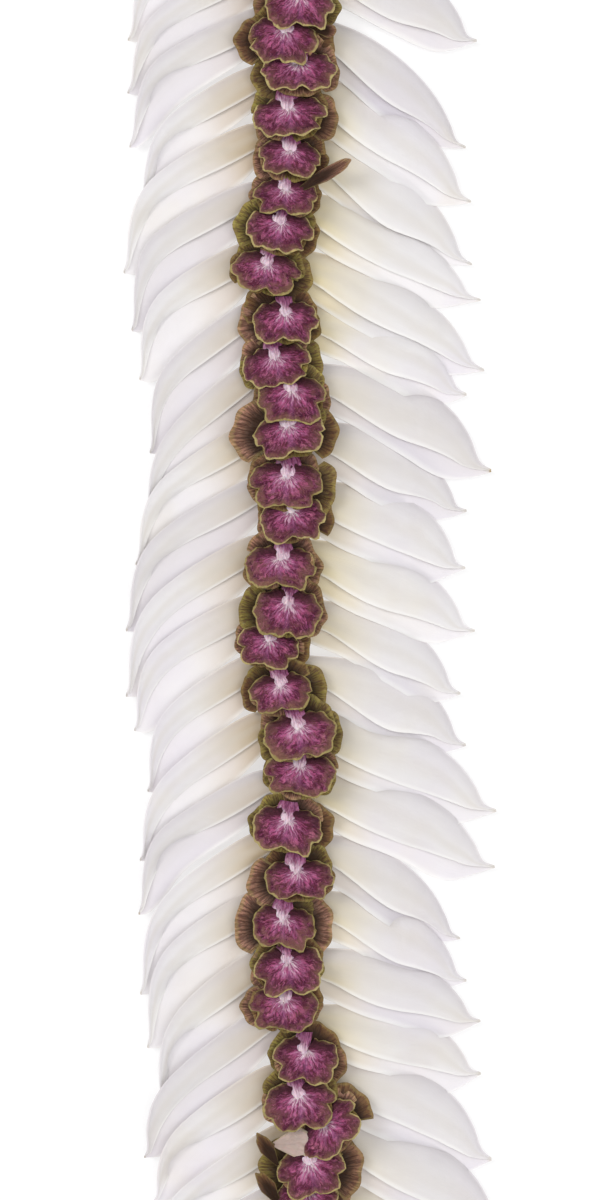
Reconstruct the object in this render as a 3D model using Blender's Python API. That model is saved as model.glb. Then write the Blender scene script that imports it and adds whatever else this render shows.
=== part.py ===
"""A closed flower lei, lying flat in a long oval, as one strung garland.

White petals, each folded along its middle, sweep out and back in pairs from a centre thread.
Small orchids stand on the same thread, face up, each lip lapping over the next one's throat.
The two ends of the thread meet in a knot at the top of the oval.

Units are metres, +Z is up, and the lei rests on z = 0. Places along the lei are given as
(s, a, b, z): s is the arc length along the thread, a the distance to the thread's right,
b a distance further along the lei and z the height above the surface.
"""

import math

import bmesh
import bpy
import numpy as np

MM = 0.001
GAP = 0.3 * MM  # between pieces that touch

# The thread's route, counter-clockwise from the top of the oval, as the control points of a
# closed cubic B-spline. The right side bends a little, as the garland does where it was laid.
ROUTE = (
    (0, 231), (-53, 214), (-85, 171), (-84, 130), (-86.5, 95), (-88, 62),
    (-84.5, 28), (-87, -4), (-84, -45), (-85.5, -88), (-81.5, -130), (-82, -172), (-52, -215),
    (0, -232), (54, -217), (89.5, -181), (93, -137), (86, -98), (87.5, -57),
    (83.5, -12), (86.5, 28), (82, 70), (85.5, 118), (87.5, 168), (54, 214),
)
ROUTE_SAMPLES = 3000
CORE_STATIONS = 60  # straight pieces that the thread and the pieces round it share

TIERS, TIERS_PER_NODE = 81, 3  # pairs of white petals
ORCHIDS, ORCHIDS_PER_NODE = 116, 4
CLOSURE = 4.0 * MM  # half of the stretch that the knot has to itself

THREAD_HEIGHT = 7.0 * MM
THREAD_RADIUS = 0.5 * MM
GROOVE_RADIUS = THREAD_RADIUS + GAP
CORE_HALF_WIDTH = 1.9 * MM
CRADLE_BOTTOM = 0.0  # the pressed petal bases, from the surface up to the thread
SADDLE_TOP = 9.4 * MM  # the orchids' stalks, over the thread
CORE_GAP = 0.5 * GAP  # each side of the thread's own level

# Stations along a pair of folded petals, from the left tip over the thread to the right tip:
# (a, b, height of the middle, half width, how far the fold stands above the free edges,
# half the space between the two free edges)
PETAL_PAIR = (
    (-33.2, -30.8, 0.8, 0.6, 0.3, 0.5),
    (-27.6, -21.0, 2.6, 6.2, 3.4, 0.8),
    (-9.0, -4.6, 3.8, 6.9, 4.0, 1.0),
    (0.0, -0.4, 4.2, 1.0, 0.0, 1.2),
    (9.0, -4.2, 3.8, 6.9, -4.0, 1.0),
    (33.0, -19.6, 2.6, 6.2, -3.4, 0.8),
    (42.4, -26.8, 0.8, 0.5, -0.3, 0.5),
)

# Stations down an orchid's lip, throat first: (b, height of the sides, half width, arch)
LIP = (
    (4.2, 8.4, 1.3, 1.4),
    (2.2, 11.0, 3.2, 1.4),
    (-1.4, 12.2, 8.6, 2.2),
    (-5.8, 13.6, 7.4, 2.2),
    (-8.8, 15.0, 3.2, 1.2),
)
# Stations across the pair of sepals under a lip: (a, near b, far b, height of the underside)
SEPALS = ((-10.8, -2.6, 2.4, 11.2), (0.0, -3.4, 1.4, 8.6), (10.8, -2.6, 2.4, 11.2))
SEPAL_RIDGE = 1.4

KNOT_RADII = (1.7 * MM, 2.4 * MM, 1.9 * MM)
TAIL_RADIUS = 0.5 * MM
TAILS = (  # (a, b, z) of the knot's two trimmed ends
    ((0.9, -0.4, 6.4), (2.2, -1.4, 4.2), (2.9, -3.6, 2.4), (3.1, -7.2, 1.6)),
    ((-0.9, 0.4, 6.4), (-2.2, 0.2, 4.2), (-3.4, -1.4, 2.4), (-4.4, -4.4, 1.6)),
)

WHITE = ("white_petal", (0.90, 0.88, 0.86), 0.55)
PURPLE = ("orchid", (0.33, 0.06, 0.22), 0.5)
COTTON = ("thread", (0.86, 0.83, 0.74), 0.85)


class Route:
    """The thread's route as smooth functions of arc length, and as the straight-sided core."""

    def __init__(self):
        corners = np.array(ROUTE) * MM
        spot = np.linspace(0, len(corners), ROUTE_SAMPLES, endpoint=False)
        first = np.floor(spot).astype(int)
        t = (spot - first)[:, None]
        weights = ((1 - t) ** 3, 3 * t**3 - 6 * t**2 + 4, -3 * t**3 + 3 * t**2 + 3 * t + 1, t**3)
        points = sum(
            w * corners[(first + k - 1) % len(corners)] for k, w in enumerate(weights)
        ) / 6
        steps = np.linalg.norm(np.roll(points, -1, axis=0) - points, axis=1)
        self.length = steps.sum()
        self.at = np.concatenate([[0], np.cumsum(steps)])
        self.points = np.vstack([points, points[:1]])
        ways = np.roll(points, -1, axis=0) - np.roll(points, 1, axis=0)
        heading = np.unwrap(np.arctan2(ways[:, 0], ways[:, 1]))  # clockwise from +Y
        self.heading = np.append(heading, heading[0] - 2 * math.pi)
        self.bend = np.gradient(self.heading, self.at)  # towards the right
        self.core_at = np.linspace(0, self.length, CORE_STATIONS + 1)

    def point(self, s):
        s = s % self.length
        return np.array([np.interp(s, self.at, self.points[:, k]) for k in (0, 1)])

    def right(self, s):
        angle = np.interp(s % self.length, self.at, self.heading)
        return np.array([math.cos(angle), -math.sin(angle)])

    def place(self, s, a, b, z):
        """A point of a flower. Inside a bend the flowers crowd together; outside it they fan out."""
        bend = np.interp(s % self.length, self.at, self.bend)
        along = s + (b / (1 - bend * a) if bend * a < 0 else b)
        x, y = self.point(along) + self.right(along) * a
        return x, y, z

    def core_place(self, s, a, z):
        """A point of the core, whose stretches are straight between its stations."""
        here = np.searchsorted(self.core_at, s, side="right") - 1
        here = min(max(here, 0), CORE_STATIONS - 1)
        low, high = self.core_at[here], self.core_at[here + 1]
        share = (s - low) / (high - low)
        ends = [self.point(q) + self.right(q) * a for q in (low, high)]
        x, y = ends[0] * (1 - share) + ends[1] * share
        return x, y, z

    def core_stations(self, start, end):
        between = [s for s in self.core_at if start + GAP < s < end - GAP]
        return [start, *between, end]


def clear_scene():
    for old in list(bpy.data.objects):
        bpy.data.objects.remove(old, do_unlink=True)


def new_collection(name):
    collection = bpy.data.collections.new(name)
    bpy.context.scene.collection.children.link(collection)
    return collection


def make_material(name, colour, roughness):
    material = bpy.data.materials.new(name)
    material.use_nodes = True
    shader = material.node_tree.nodes["Principled BSDF"]
    shader.inputs["Base Color"].default_value = (*colour, 1)
    shader.inputs["Roughness"].default_value = roughness
    shader.inputs["Metallic"].default_value = 0
    material.diffuse_color = (*colour, 1)
    return material


def add_loft(bm, rings):
    """A closed solid through rings of as many points each, capped at both ends."""
    loops = [[bm.verts.new(point) for point in ring] for ring in rings]
    count = len(loops[0])
    faces = [bm.faces.new(loops[0]), bm.faces.new(loops[-1])]
    for lower, upper in zip(loops, loops[1:]):
        for k in range(count):
            after = (k + 1) % count
            faces.append(bm.faces.new((lower[k], lower[after], upper[after], upper[k])))
    bmesh.ops.recalc_face_normals(bm, faces=faces)


def finish_object(bm, name, collection, material):
    mesh = bpy.data.meshes.new(name)
    bm.to_mesh(mesh)
    bm.free()
    mesh.materials.append(material)
    made = bpy.data.objects.new(name, mesh)
    collection.objects.link(made)
    return made


def hidden_helper(bm, name, collection, material):
    helper = finish_object(bm, name, collection, material)
    helper.hide_render = True
    helper.display_type = "WIRE"
    return helper


def join_helper(target, helper):
    union = target.modifiers.new(helper.name, "BOOLEAN")
    union.operation = "UNION"
    union.object = helper


def grooved_core(bm, route, start, end, outer, face, floor):
    """A bar along the thread with a groove for it: outer is its far side's height, face the side
    that meets the thread's level, floor the bottom of the groove."""
    wide, near = CORE_HALF_WIDTH, GROOVE_RADIUS
    outline = (
        (-wide, outer), (wide, outer), (wide, face), (near, face),
        (0.6 * near, floor), (-0.6 * near, floor), (-near, face), (-wide, face),
    )
    rings = [
        [route.core_place(s, a, z) for a, z in outline] for s in route.core_stations(start, end)
    ]
    add_loft(bm, rings)


def add_petals(bm, route, s):
    """A pair of folded petals across the thread. A right petal lies over the next one of its side
    along the lei, and a left petal under it."""
    middles = [np.array(station[:2]) for station in PETAL_PAIR]
    rings = []
    for k, (a, b, height, half_width, rise, half_space) in enumerate(PETAL_PAIR):
        way = middles[min(k + 1, len(middles) - 1)] - middles[max(k - 1, 0)]
        way = way / np.linalg.norm(way)
        across = half_width * np.array([-way[1], way[0]])  # towards the fold
        fold, free = height + rise / 2, height - rise / 2
        ring = ((1, fold), (-1, free + half_space), (-1, free - half_space))
        rings.append(
            [
                route.place(s, (a + q * across[0]) * MM, (b + q * across[1]) * MM, max(z, 0) * MM)
                for q, z in ring
            ]
        )
    add_loft(bm, rings)


def add_lip(bm, route, s):
    """An orchid's arched lip, from the claw on the thread's saddle to its free edge."""
    rings = []
    for b, height, half_width, arch in LIP:
        ring = ((-half_width, height), (0, height + arch), (half_width, height))
        rings.append([route.place(s, a * MM, b * MM, z * MM) for a, z in ring])
    add_loft(bm, rings)


def add_sepals(bm, route, s):
    """The sepals that spread under a lip, as one ridged plate from side to side."""
    rings = []
    for a, near, far, height in SEPALS:
        ring = ((near, height), (far, height), ((near + far) / 2, height + SEPAL_RIDGE))
        rings.append([route.place(s, a * MM, b * MM, z * MM) for b, z in ring])
    add_loft(bm, rings)


def spread(count, route):
    """The places of count flowers, evenly along the lei between the two sides of the closure."""
    pitch = (route.length - 2 * CLOSURE) / count
    return [CLOSURE + (k + 0.5) * pitch for k in range(count)], pitch


def groups(count, per_node, route):
    """(number, the flowers' places, start, end) for each run of flowers that shares a node."""
    places, pitch = spread(count, route)
    for number in range(count // per_node):
        run = places[number * per_node : (number + 1) * per_node]
        start, end = run[0] - 0.5 * pitch, run[-1] + 0.5 * pitch
        yield number + 1, run, start + 0.5 * GAP, end - 0.5 * GAP


def white_petals(route, parts, helpers, material):
    for number, run, start, end in groups(TIERS, TIERS_PER_NODE, route):
        bm = bmesh.new()
        grooved_core(
            bm, route, start, end,
            CRADLE_BOTTOM, THREAD_HEIGHT - CORE_GAP, THREAD_HEIGHT - GROOVE_RADIUS,
        )
        node = finish_object(bm, f"white_petals_{number:02d}", parts, material)
        blades = bmesh.new()
        for s in run:
            add_petals(blades, route, s)
        join_helper(node, hidden_helper(blades, f"petal_blades_{number:02d}", helpers, material))


def orchids(route, parts, helpers, material):
    for number, run, start, end in groups(ORCHIDS, ORCHIDS_PER_NODE, route):
        bm = bmesh.new()
        grooved_core(
            bm, route, start, end,
            SADDLE_TOP, THREAD_HEIGHT + CORE_GAP, THREAD_HEIGHT + GROOVE_RADIUS,
        )
        node = finish_object(bm, f"orchids_{number:02d}", parts, material)
        for make, word in ((add_lip, "lips"), (add_sepals, "sepals")):
            piece = bmesh.new()
            for s in run:
                make(piece, route, s)
            join_helper(node, hidden_helper(piece, f"{word}_{number:02d}", helpers, material))


def tube(name, points, radius, collection, material):
    curve = bpy.data.curves.new(name, "CURVE")
    curve.dimensions = "3D"
    curve.bevel_depth = radius
    curve.bevel_resolution = 2
    curve.use_fill_caps = True
    spline = curve.splines.new("POLY")
    spline.points.add(len(points) - 1)
    for spot, point in zip(spline.points, points):
        spot.co = (*point, 1)
    curve.materials.append(material)
    made = bpy.data.objects.new(name, curve)
    collection.objects.link(made)
    return made


def as_mesh(curve_object, collection):
    """The curve as a mesh object with welded caps, so that it can be joined to another."""
    graph = bpy.context.evaluated_depsgraph_get()
    mesh = bpy.data.meshes.new_from_object(curve_object.evaluated_get(graph))
    bm = bmesh.new()
    bm.from_mesh(mesh)
    bmesh.ops.remove_doubles(bm, verts=bm.verts, dist=0.01 * MM)
    bm.to_mesh(mesh)
    bm.free()
    made = bpy.data.objects.new(curve_object.name + "_solid", mesh)
    made.matrix_world = curve_object.matrix_world
    collection.objects.link(made)
    bpy.data.objects.remove(curve_object)
    made.hide_render = True
    made.display_type = "WIRE"
    return made


def lei_thread(route, parts, material):
    start = KNOT_RADII[1] + GAP
    stations = route.core_stations(start, route.length - start)
    points = [route.core_place(s, 0, THREAD_HEIGHT) for s in stations]
    tube("lei_thread", points, THREAD_RADIUS, parts, material)


def thread_knot(route, parts, helpers, material):
    bm = bmesh.new()
    bmesh.ops.create_uvsphere(bm, u_segments=8, v_segments=6, radius=1)
    for vert in bm.verts:
        across, along, up = (c * r for c, r in zip(vert.co, KNOT_RADII))
        vert.co = route.place(0, across, along, THREAD_HEIGHT + up)
    bmesh.ops.recalc_face_normals(bm, faces=bm.faces)
    node = finish_object(bm, "thread_knot", parts, material)
    for number, tail in enumerate(TAILS, 1):
        points = [route.place(0, a * MM, b * MM, z * MM) for a, b, z in tail]
        bare = tube(f"knot_tail_{number}", points, TAIL_RADIUS, helpers, material)
        join_helper(node, as_mesh(bare, helpers))


def centre_on_origin(parts, helpers):
    """Hangs everything from an empty that brings the middle of the lei's footprint to the origin."""
    graph = bpy.context.evaluated_depsgraph_get()
    corners = []
    for node in parts.objects:
        evaluated = node.evaluated_get(graph)
        mesh = evaluated.to_mesh()
        corners += [tuple(node.matrix_world @ vert.co) for vert in mesh.vertices]
        evaluated.to_mesh_clear()
    low, high = np.min(corners, axis=0), np.max(corners, axis=0)
    origin = bpy.data.objects.new("lei_origin", None)
    for piece in [*parts.objects, *helpers.objects]:
        piece.parent = origin
    parts.objects.link(origin)
    origin.location = (-(low[0] + high[0]) / 2, -(low[1] + high[1]) / 2, -low[2])


def main():
    clear_scene()
    parts = new_collection("flower_lei")
    helpers = new_collection("helpers")
    white, purple, cotton = (make_material(*look) for look in (WHITE, PURPLE, COTTON))
    route = Route()
    lei_thread(route, parts, cotton)
    thread_knot(route, parts, helpers, cotton)
    white_petals(route, parts, helpers, white)
    orchids(route, parts, helpers, purple)
    centre_on_origin(parts, helpers)


main()
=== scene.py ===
"""A fresh flower lei lying flat: folded white petals along both sides of a thread, and a column
of small purple-lipped orchids down its middle.

Flowers are modelled once in millimetres, as (a, b, z): a is the distance to the thread's right,
b the distance further along the lei and z the height above the surface. Copies are then laid
along the thread's route, run by run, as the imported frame's nodes divide them.
"""

import math

import bpy
import numpy as np
from mathutils import Matrix, Vector


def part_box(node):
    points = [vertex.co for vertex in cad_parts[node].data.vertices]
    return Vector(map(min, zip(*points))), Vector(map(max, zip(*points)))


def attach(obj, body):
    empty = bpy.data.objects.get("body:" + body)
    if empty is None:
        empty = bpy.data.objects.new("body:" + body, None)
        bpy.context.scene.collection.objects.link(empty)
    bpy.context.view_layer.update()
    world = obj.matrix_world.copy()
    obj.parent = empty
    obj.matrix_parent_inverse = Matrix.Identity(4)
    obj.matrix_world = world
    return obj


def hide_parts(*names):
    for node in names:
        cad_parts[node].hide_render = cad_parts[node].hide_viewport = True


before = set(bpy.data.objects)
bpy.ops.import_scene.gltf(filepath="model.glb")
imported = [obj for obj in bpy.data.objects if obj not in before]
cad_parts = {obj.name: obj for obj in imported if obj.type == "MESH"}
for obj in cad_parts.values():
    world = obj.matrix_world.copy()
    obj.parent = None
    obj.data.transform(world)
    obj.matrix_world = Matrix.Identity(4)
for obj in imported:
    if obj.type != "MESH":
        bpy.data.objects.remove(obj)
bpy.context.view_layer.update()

bl_info = {
    "name": "Flower Lei",
    "version": (1, 0, 0),
    "blender": (4, 5, 0),
    "location": "3D View > Sidebar > Flower Lei",
    "description": "Strings a lei of folded white petals and small orchids along a closed thread",
    "category": "Object",
}

MM = 0.001
BODY = "root"

# The thread's route, counter-clockwise from the top of the oval, as the control points of a
# closed cubic B-spline, in millimetres. It is the same route as the frame's.
ROUTE = (
    (0, 231), (-53, 214), (-85, 171), (-84, 130), (-86.5, 95), (-88, 62),
    (-84.5, 28), (-87, -4), (-84, -45), (-85.5, -88), (-81.5, -130), (-82, -172), (-52, -215),
    (0, -232), (54, -217), (89.5, -181), (93, -137), (86, -98), (87.5, -57),
    (83.5, -12), (86.5, 28), (82, 70), (85.5, 118), (87.5, 168), (54, 214),
)
ROUTE_SAMPLES = 3000
CLOSURE = 4.0
TIERS, TIERS_PER_NODE = 81, 3
ORCHIDS, ORCHIDS_PER_NODE = 116, 4
SHARP_ANGLE = 60

# Outlines of a folded petal, root to tip, in millimetres: the fold, the free edge of its upper
# layer and the free edge of its lower layer, each as (a, b, z)
RIGHT_PETAL = {
    "fold": (
        (1.0, 1.5, 5.6), (5.0, 4.2, 4.6), (9.0, 4.0, 3.9), (17.0, 2.4, 3.2), (25.0, -0.6, 2.6),
        (32.0, -4.8, 2.1), (37.2, -9.8, 1.6), (40.5, -15.4, 1.3), (42.3, -20.4, 1.4),
        (44.7, -22.3, 2.0),
    ),
    "upper": (
        (1.0, -0.5, 6.0), (5.0, -1.8, 6.1), (10.3, -4.0, 5.9), (14.8, -7.0, 5.4),
        (20.8, -11.4, 4.7), (26.0, -14.8, 4.0), (31.4, -17.2, 3.2), (36.0, -19.2, 2.5),
        (39.8, -21.2, 2.0), (44.8, -22.6, 2.1),
    ),
    "lower": (
        (1.0, -1.0, 5.2), (5.0, -5.4, 5.3), (11.5, -9.4, 4.9), (16.0, -12.0, 4.4),
        (20.5, -15.0, 3.9), (26.8, -19.4, 3.1), (31.0, -22.4, 2.4), (35.5, -23.9, 1.9),
        (40.5, -23.4, 1.6), (44.8, -22.7, 1.9),
    ),
}
LEFT_PETAL = {
    "fold": (
        (-1.0, 3.5, 5.7), (-5.0, 5.5, 5.7), (-10.5, 3.6, 5.4), (-18.0, -0.8, 4.9),
        (-24.0, -4.8, 4.3), (-29.0, -9.0, 3.7), (-32.2, -13.8, 3.2), (-33.8, -20.0, 2.7),
        (-34.2, -27.0, 2.3), (-35.0, -30.2, 2.1),
    ),
    "upper": (
        (-1.0, 1.5, 5.6), (-4.6, -0.2, 5.4), (-9.2, -3.0, 5.0), (-15.8, -7.2, 4.2),
        (-21.6, -11.2, 3.6), (-27.0, -15.8, 3.0), (-30.6, -20.4, 2.6), (-32.6, -25.0, 2.2),
        (-33.9, -28.9, 2.0), (-35.1, -30.3, 2.0),
    ),
    "lower": (
        (-1.0, 1.0, 5.0), (-4.0, -3.0, 4.6), (-8.0, -7.0, 4.2), (-13.5, -11.8, 3.4),
        (-19.0, -17.0, 2.7), (-24.5, -22.4, 2.1), (-28.2, -27.0, 1.6), (-31.4, -29.4, 1.3),
        (-33.6, -30.3, 1.4), (-35.1, -30.5, 1.8),
    ),
}
# In the best seen stretch, how much further out each tier's tips reach, and how far they are
# swept along the lei
TIPS = {
    "right": {
        52 + k: tip for k, tip in enumerate((
            (-1.5, 2), (-2, 5.5), (-1, 5), (-3, 3.5), (-4, 0), (2.5, 3), (3, 2.5), (-2, 3.5),
            (-2.5, 2.5), (0.5, 5), (-1.5, 5.5), (-1.5, 4.5), (3, 1.5), (-1, 3.5), (2.5, -3.5),
            (2.5, 0), (1, -3), (0.5, -1), (-1, -4), (0, 4),
        ))
    },
    "left": {
        52 + k: tip for k, tip in enumerate((
            (1, 4), (3, -1.5), (-3, -1), (-1.5, 1.5), (-0.5, -1.5), (-0.5, 3), (-1, 1.5), (-4, 4),
            (-1, 4.5), (1, 0), (0.5, 0.5), (-2, 1.5), (-4.5, -1.5), (-6, 0), (-4, 4.5), (-2.5, 2.5),
            (-0.5, 2), (-5, 1), (-1, 3), (0.5, 1.5),
        ))
    },
}

# An orchid's lip: its reach from the throat in each direction, in degrees from straight down,
# and the plane that it lies in
LIP_HALF_TURN = 150
LIP_TURNS = (0, 7, 18, 32, 50, 68, 85, 100, 118, 135, 150)
LIP_REACH = (8.5, 9.0, 10.1, 10.8, 10.6, 9.6, 8.5, 7.3, 5.5, 4.1, 3.5)
LIP_MIDDLE, LIP_HEIGHT, LIP_SLOPE = 2.6, 11.4, 0.36
STALK_SPAN, STALK_RADII = (6.8, 11.4), (1.7, 1.1)

# A sepal, and where a flower's sepals stand: each one's direction in degrees clockwise from
# straight ahead, its tilt, scale and width, and the place of its root
SEPAL_HALF_TURN, SEPAL_REACH, SEPAL_DOME = 50, 10.4, 0.9
LEFT, RIGHT, LEFT_AHEAD = -92, 92, -34
SEPALS = (
    (LEFT, 0, 0.77, 1.0, (-1.2, -0.5, 7.9)),
    (RIGHT, 0, 0.77, 1.0, (1.2, -0.5, 7.9)),
    (-145, 21, 0.76, 1.0, (-0.8, 0.8, 8.5)),
    (145, 21, 0.76, 1.0, (0.8, 0.8, 8.5)),
    (LEFT_AHEAD, 0, 0.84, 1.1, (-0.6, 0.5, 8.0)),
    (30, 0, 0.84, 1.1, (0.8, 0.5, 8.4)),
)
# How much a sepal that has grown out fully gains in scale, one at the side and any other, and how
# far the ones that EARS doesn't name may grow, at a seated orchid and at a strewn one
SIDE_GAIN, OTHER_GAIN = 0.34, 0.1
GROWN_SEATED, GROWN_STREWN = 0.5, 1.2
LOOSE_SEPAL_HEIGHT = 9.4

# How many different ones are modelled of each kind, and the columns and rows of their grids
PETAL_KINDS, LIP_KINDS, HOOD_KINDS, SEPAL_KINDS = 6, 12, 4, 8
PETAL_GRID, LIP_GRID, HOOD_GRID, SEPAL_GRID = (28, 14), (54, 9), (8, 10), (20, 4)
LIP_SEED, SEPAL_SEED, PETAL_SEED = 100, 200, 300
LAID_PETALS_SEED, LAID_ORCHIDS_SEED = 7, 11

# A strewn orchid's shift to the right, as mean and spread, and how far it may stray along the lei.
# Every orchid's size, and the spread of its lean and of its sepals' sway, in degrees
STREWN_SHIFT, STREWN_AHEAD = (0.6, 1.2), 1.5
ORCHID_SIZE, LEAN_SPREAD, SWAY_SPREAD = 0.91, 8, 12

# A white petal's lowest height and about how far out its tip is. The mean and spread of how much
# further out a strewn one reaches, how far it is swept along the lei and how far it is lifted
PETAL_CLEARANCE, PETAL_REACH = 0.02, 40
TIP_FURTHER, TIP_SWEEP, TIP_LIFT = (0, 1.2), (1, 2), (0, 0.2)

# The stage, in metres: the point that the lights and the camera face, the camera's height above
# it, its lens in millimetres, and each light's place, size and power
LOOKED_AT = (0.0874, -0.002, 0.008)
CAMERA_HEIGHT, CAMERA_LENS = 0.767, 100
FLOOR_SIZE, FLOOR_HEIGHT, FLOOR_GLOW = 6, -0.0002, 0.5
WORLD_STRENGTH = 0.5
LIGHTS = (
    ("key_light", (-1.0, 0.5, 1.3), 0.8, 12),
    ("fill_light", (1.2, -0.5, 1.3), 1.4, 11),
    ("top_light", (0.1, 0.0, 1.9), 1.8, 8),
)

# Where each orchid of the best seen stretch sits: its shift to the right and along the lei
SEATED = {
    73 + k: seat
    for k, seat in enumerate((
        (1, -2.5), (6, -3), (0, -6), (2.5, -5.5), (-1.5, -2.5), (0, -3.5), (-1, -3), (2.5, -1.5),
        (0, 0.5), (3.5, 3.5), (4, 3), (0, 3.5), (-2.5, 4.5), (2, 3), (0, 4), (2.5, 5.5), (1, 4),
        (2, 6), (3, 4.5), (0, 3), (2.5, 3.5), (-1.5, 5.5), (1.5, 5.5), (2.5, 4), (3, 3.5),
        (2.5, 3.5), (4, 4.5), (0, 2), (3.5, 0.5),
    ))
}
# Their sepals that stand out: which one, how far it has grown out, and its tone from pink (0) over
# brown and olive to yellow-green (1)
EARS = {
    73: {LEFT: (1.1, 0.8), RIGHT: (1.1, 0.4)}, 74: {RIGHT: (0.8, 0.5)},
    79: {LEFT: (1.2, 0.1), RIGHT: (1.2, 0.15)}, 80: {LEFT: (1.25, 0.25)},
    81: {RIGHT: (0.9, 0.5)}, 84: {RIGHT: (0.9, 0.75)}, 85: {RIGHT: (0.7, 0.6)},
    86: {LEFT: (0.8, 0.8)}, 88: {RIGHT: (0.5, 0.5)}, 89: {RIGHT: (0.9, 0.7)},
    90: {LEFT: (1.4, 0.1), RIGHT: (0.7, 0.6)}, 92: {RIGHT: (0.9, 0.8)},
    93: {LEFT: (1.0, 0.05), LEFT_AHEAD: (2.8, 0.5)}, 94: {RIGHT: (0.8, 0.7)},
    95: {LEFT: (0.8, 0.95)}, 98: {RIGHT: (0.8, 0.4)}, 99: {LEFT: (0.6, 0.7)},
    100: {LEFT: (0.7, 0.45), RIGHT: (1.0, 0.5)}, 101: {LEFT: (0.8, 0.4)},
}
# Loose sepals that lie out on the white petals: (flower, a, b, direction, length, width, tone)
STRAYS = (
    (97, 2.8, -9.4, 57, 1.65, 0.22, 0.28), (100, 7.0, 2.0, 85, 0.5, 0.22, 0.35),
    (101, -4.5, 3.0, -52, 1.1, 0.5, 0.5), (101, -3.0, 7.5, -35, 1.2, 0.5, 0.42),
    (74, -6.0, -8.5, -27, 0.95, 0.25, 0.5), (73, -5.8, -9.3, -30, 1.05, 0.26, 0.5),
    (74, -8.0, -2.6, 90, 1.0, 0.5, 0.0),
)
# How far some of them are turned, in degrees, clockwise from above
LEANING = {74: -38, 77: 6, 85: 12, 88: -10, 92: -8, 94: 10}


# ---------------------------------------------------------------- the thread's route


class Route:
    """The thread's route as smooth functions of arc length, in millimetres."""

    def __init__(self):
        corners = np.array(ROUTE, float)
        spot = np.linspace(0, len(corners), ROUTE_SAMPLES, endpoint=False)
        first = np.floor(spot).astype(int)
        t = (spot - first)[:, None]
        weights = ((1 - t) ** 3, 3 * t**3 - 6 * t**2 + 4, -3 * t**3 + 3 * t**2 + 3 * t + 1, t**3)
        points = sum(
            w * corners[(first + k - 1) % len(corners)] for k, w in enumerate(weights)
        ) / 6
        steps = np.linalg.norm(np.roll(points, -1, axis=0) - points, axis=1)
        self.length = steps.sum()
        self.at = np.concatenate([[0], np.cumsum(steps)])
        ways = np.roll(points, -1, axis=0) - np.roll(points, 1, axis=0)
        heading = np.unwrap(np.arctan2(ways[:, 0], ways[:, 1]))
        self.heading = np.append(heading, heading[0] - 2 * math.pi)
        self.bend = np.gradient(self.heading, self.at)
        self.points = np.vstack([points, points[:1]])
        low, high = (np.array(corner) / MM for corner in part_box("lei_thread"))
        middle = (self.points.min(axis=0) + self.points.max(axis=0)) / 2
        self.points = self.points + (low + high)[:2] / 2 - middle

    def place(self, s, points):
        """Where the (a, b, z) points of a flower at s end up, in metres. Inside a bend the
        flowers crowd together, and outside it they fan out."""
        a, b, z = points.T
        bend = np.interp(s % self.length, self.at, self.bend) * a
        along = (s + np.where(bend < 0, b / (1 - np.minimum(bend, 0)), b)) % self.length
        x, y = (np.interp(along, self.at, self.points[:, k]) for k in (0, 1))
        heading = np.interp(along, self.at, self.heading)
        return np.stack([x + a * np.cos(heading), y - a * np.sin(heading), z], axis=1) * MM


def spread(count, route):
    """The places of count flowers, evenly along the lei between the two sides of the closure."""
    pitch = (route.length - 2 * CLOSURE) / count
    return [CLOSURE + (k + 0.5) * pitch for k in range(count)]


def smooth_line(points, t):
    """Points of a smooth line through the given points, at the places t from 0 to 1."""
    points = np.array(points, float)
    ends = np.vstack([2 * points[0] - points[1], points, 2 * points[-1] - points[-2]])
    spot = np.clip(t, 0, 1) * (len(points) - 1)
    first = np.minimum(spot.astype(int), len(points) - 2)
    f = (spot - first)[..., None]
    p = [ends[first + k] for k in range(4)]
    return 0.5 * (
        2 * p[1]
        + (p[2] - p[0]) * f
        + (2 * p[0] - 5 * p[1] + 4 * p[2] - p[3]) * f**2
        + (3 * p[1] - p[0] - 3 * p[2] + p[3]) * f**3
    )


# ---------------------------------------------------------------- modelling helpers


def deselect_all():
    bpy.ops.object.select_all(action="DESELECT")


def shaped_grid(name, grid, shape, thickness, material):
    """A grid whose points are moved to shape(u, v), given a thickness of its own. u and v run
    from 0 to 1 and stay on the mesh as its UV map."""
    deselect_all()
    columns, rows = grid
    bpy.ops.mesh.primitive_grid_add(x_subdivisions=columns, y_subdivisions=rows, size=1)
    made = bpy.context.object
    made.name = name
    mesh = made.data
    flat = np.empty(len(mesh.vertices) * 3)
    mesh.vertices.foreach_get("co", flat)
    u, v = flat.reshape(-1, 3)[:, 0] + 0.5, flat.reshape(-1, 3)[:, 1] + 0.5
    mesh.vertices.foreach_set("co", shape(u, v).ravel())
    mesh.materials.append(material)
    wall = made.modifiers.new("thickness", "SOLIDIFY")
    wall.thickness = thickness
    wall.offset = 0
    bpy.ops.object.modifier_apply(modifier=wall.name)
    return made


class Pattern:
    """A finished flower piece as arrays, to be copied along the lei."""

    def __init__(self, made):
        mesh = made.data
        mesh.calc_loop_triangles()
        count = len(mesh.vertices)
        self.points = np.empty(count * 3)
        mesh.vertices.foreach_get("co", self.points)
        self.points = self.points.reshape(-1, 3)
        self.faces = [tuple(face.vertices) for face in mesh.polygons]
        self.slots = [face.material_index for face in mesh.polygons]
        self.uv = np.empty(len(mesh.loops) * 2)
        mesh.uv_layers.active.data.foreach_get("uv", self.uv)
        self.materials = list(mesh.materials)
        bpy.data.objects.remove(made)


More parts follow.
